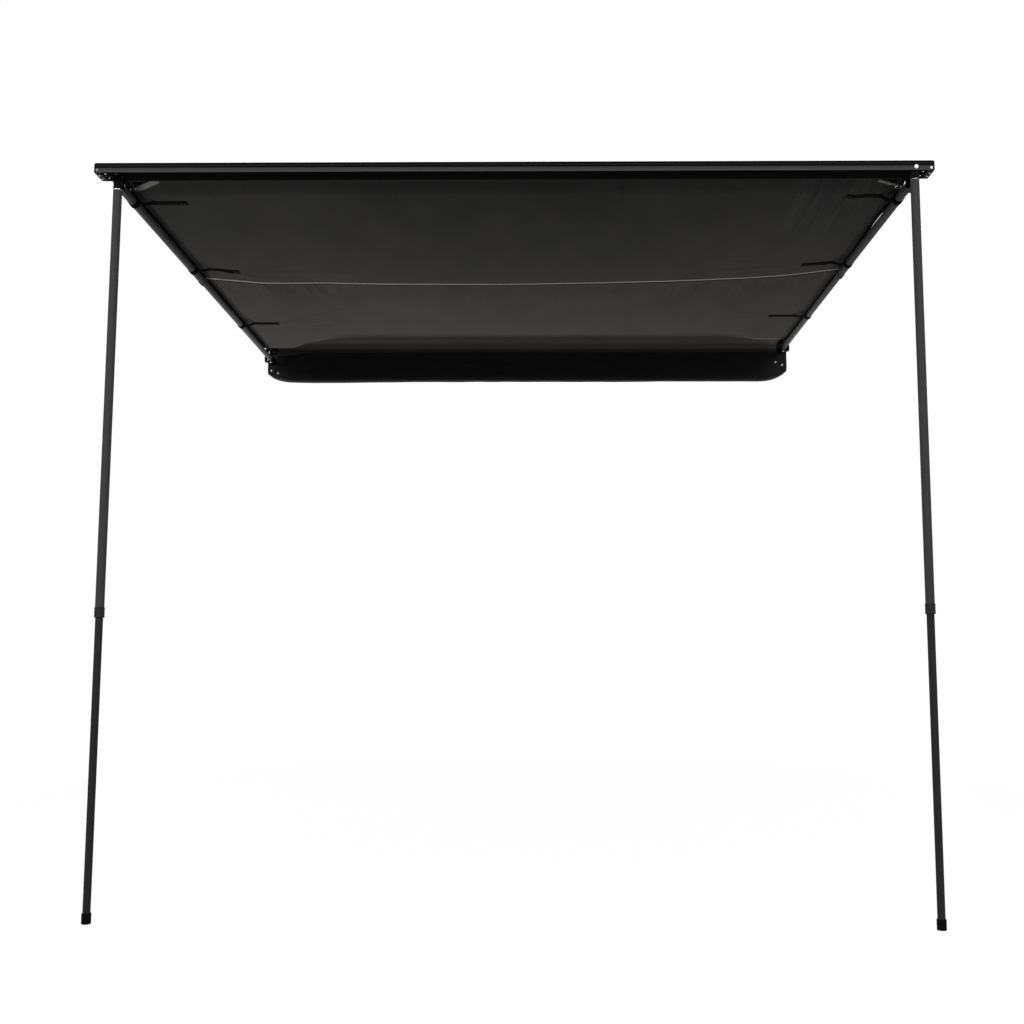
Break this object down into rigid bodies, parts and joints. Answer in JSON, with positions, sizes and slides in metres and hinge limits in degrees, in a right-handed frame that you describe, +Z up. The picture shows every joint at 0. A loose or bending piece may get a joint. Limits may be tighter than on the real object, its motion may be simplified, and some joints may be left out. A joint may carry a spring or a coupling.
{
  "type": "vehicle side awning",
  "caption": "Pull-out vehicle side awning, set up: back rail with open stowage bag, stretched canopy, front beam, telescopic arms that swing and telescopic legs that fold.",
  "frame": {"origin": "middle of the back rail's rear mounting face, halfway along the rail and halfway up it", "axes": "+X along the rail to the right as seen from in front of the beam, -Y out from the vehicle towards the front beam, +Z up"},
  "size_m": [2.5, 2.1253, 2.2314],
  "materials": {
    "rail_aluminium": "satin black powder-coated aluminium extrusion",
    "beam_aluminium": "satin black powder-coated aluminium extrusion",
    "tube_aluminium": "dark grey powder-coated aluminium tube",
    "inner_tube_aluminium": "dark grey anodised aluminium tube",
    "moulded_nylon": "black glass-filled nylon, fine texture",
    "foot_rubber": "black rubber, matte",
    "bolt_steel": "zinc-plated steel",
    "grommet_brass": "nickelled brass, worn",
    "canopy_cloth": "charcoal coated polyester canvas, fine ripstop weave",
    "strap_webbing": "black polypropylene webbing",
    "bag_fabric": "black PVC-coated fabric, soft sheen"
  },
  "bodies": {
    "awning": {"back_rail": "rail_aluminium", "stowage_bag": "bag_fabric", "canopy": "canopy_cloth", "front_beam": "beam_aluminium", "canopy_front_bead": "strap_webbing", "canopy_rear_bead": "strap_webbing", "left_rail_bracket": "moulded_nylon", "left_bracket_screw": "bolt_steel", "left_arm_pin": "bolt_steel", "left_beam_end": "moulded_nylon", "left_end_screw": "bolt_steel", "left_leg_bolt": "bolt_steel", "left_leg_nut": "bolt_steel", "left_arm_seat": "moulded_nylon", "left_grommet": "grommet_brass", "left_strap_tail_1": "strap_webbing", "left_strap_tail_2": "strap_webbing", "left_strap_tail_3": "strap_webbing", "right_rail_bracket": "moulded_nylon", "right_bracket_screw": "bolt_steel", "right_arm_pin": "bolt_steel", "right_beam_end": "moulded_nylon", "right_end_screw": "bolt_steel", "right_leg_bolt": "bolt_steel", "right_leg_nut": "bolt_steel", "right_arm_seat": "moulded_nylon", "right_grommet": "grommet_brass", "right_strap_tail_1": "strap_webbing", "right_strap_tail_2": "strap_webbing", "right_strap_tail_3": "strap_webbing"},
    "left_leg": {"left_leg_knuckle": "moulded_nylon", "left_leg_outer_tube": "tube_aluminium", "left_leg_lock_collet": "moulded_nylon"},
    "left_leg_lower": {"left_leg_inner_tube": "inner_tube_aluminium", "left_leg_foot": "foot_rubber"},
    "left_leg_lock": {"left_leg_lock_collar": "moulded_nylon"},
    "left_arm": {"left_arm_knuckle": "moulded_nylon", "left_arm_inner_tube": "inner_tube_aluminium", "left_strap_loop_3": "strap_webbing"},
    "left_arm_front": {"left_arm_outer_tube": "tube_aluminium", "left_arm_tip": "moulded_nylon", "left_arm_lock_collet": "moulded_nylon", "left_strap_loop_1": "strap_webbing", "left_strap_loop_2": "strap_webbing"},
    "left_arm_lock": {"left_arm_lock_collar": "moulded_nylon"},
    "right_leg": {"right_leg_knuckle": "moulded_nylon", "right_leg_outer_tube": "tube_aluminium", "right_leg_lock_collet": "moulded_nylon"},
    "right_leg_lower": {"right_leg_inner_tube": "inner_tube_aluminium", "right_leg_foot": "foot_rubber"},
    "right_leg_lock": {"right_leg_lock_collar": "moulded_nylon"},
    "right_arm": {"right_arm_knuckle": "moulded_nylon", "right_arm_inner_tube": "inner_tube_aluminium", "right_strap_loop_3": "strap_webbing"},
    "right_arm_front": {"right_arm_outer_tube": "tube_aluminium", "right_arm_tip": "moulded_nylon", "right_arm_lock_collet": "moulded_nylon", "right_strap_loop_1": "strap_webbing", "right_strap_loop_2": "strap_webbing"},
    "right_arm_lock": {"right_arm_lock_collar": "moulded_nylon"}
  },
  "joints": [
    {"name": "left_leg_fold", "type": "hinge", "parent": "awning", "child": "left_leg", "pos_m": [-1.1955, -2.0694, -0.0131], "axis": [0, -1, 0], "range_deg": [0, 90]},
    {"name": "left_leg_length", "type": "slide", "parent": "left_leg", "child": "left_leg_lower", "axis": [0, 0, 1], "range_m": [0, 0.8]},
    {"name": "left_leg_lock_turn", "type": "hinge", "parent": "left_leg", "child": "left_leg_lock", "pos_m": [-1.1955, -2.0694, -1.3296], "axis": [0, 0, 1], "range_deg": [0, 120]},
    {"name": "left_arm_swing", "type": "hinge", "parent": "awning", "child": "left_arm", "pos_m": [-1.199, -0.064, -0.0861], "axis": [0, 0.0252, 0.9997], "range_deg": [0, 90]},
    {"name": "left_arm_length", "type": "slide", "parent": "left_arm", "child": "left_arm_front", "axis": [0, 0.9997, -0.0252], "range_m": [0, 0.5]},
    {"name": "left_arm_lock_turn", "type": "hinge", "parent": "left_arm_front", "child": "left_arm_lock", "pos_m": [-1.199, -1.16748, -0.05829], "axis": [0, 0.9997, -0.0252], "range_deg": [0, 120]},
    {"name": "right_leg_fold", "type": "hinge", "parent": "awning", "child": "right_leg", "pos_m": [1.1955, -2.1018, -0.0131], "axis": [0, 1, 0], "range_deg": [0, 90]},
    {"name": "right_leg_length", "type": "slide", "parent": "right_leg", "child": "right_leg_lower", "axis": [0, 0, 1], "range_m": [0, 0.8]},
    {"name": "right_leg_lock_turn", "type": "hinge", "parent": "right_leg", "child": "right_leg_lock", "pos_m": [1.1955, -2.1018, -1.3176], "axis": [0, 0, 1], "range_deg": [0, 120]},
    {"name": "right_arm_swing", "type": "hinge", "parent": "awning", "child": "right_arm", "pos_m": [1.199, -0.064, -0.0361], "axis": [0, 0, -1], "range_deg": [0, 90]},
    {"name": "right_arm_length", "type": "slide", "parent": "right_arm", "child": "right_arm_front", "axis": [0, 1, 0], "range_m": [0, 0.5]},
    {"name": "right_arm_lock_turn", "type": "hinge", "parent": "right_arm_front", "child": "right_arm_lock", "pos_m": [1.199, -1.1672, -0.0361], "axis": [0, 1, 0], "range_deg": [0, 120]}
  ]
}
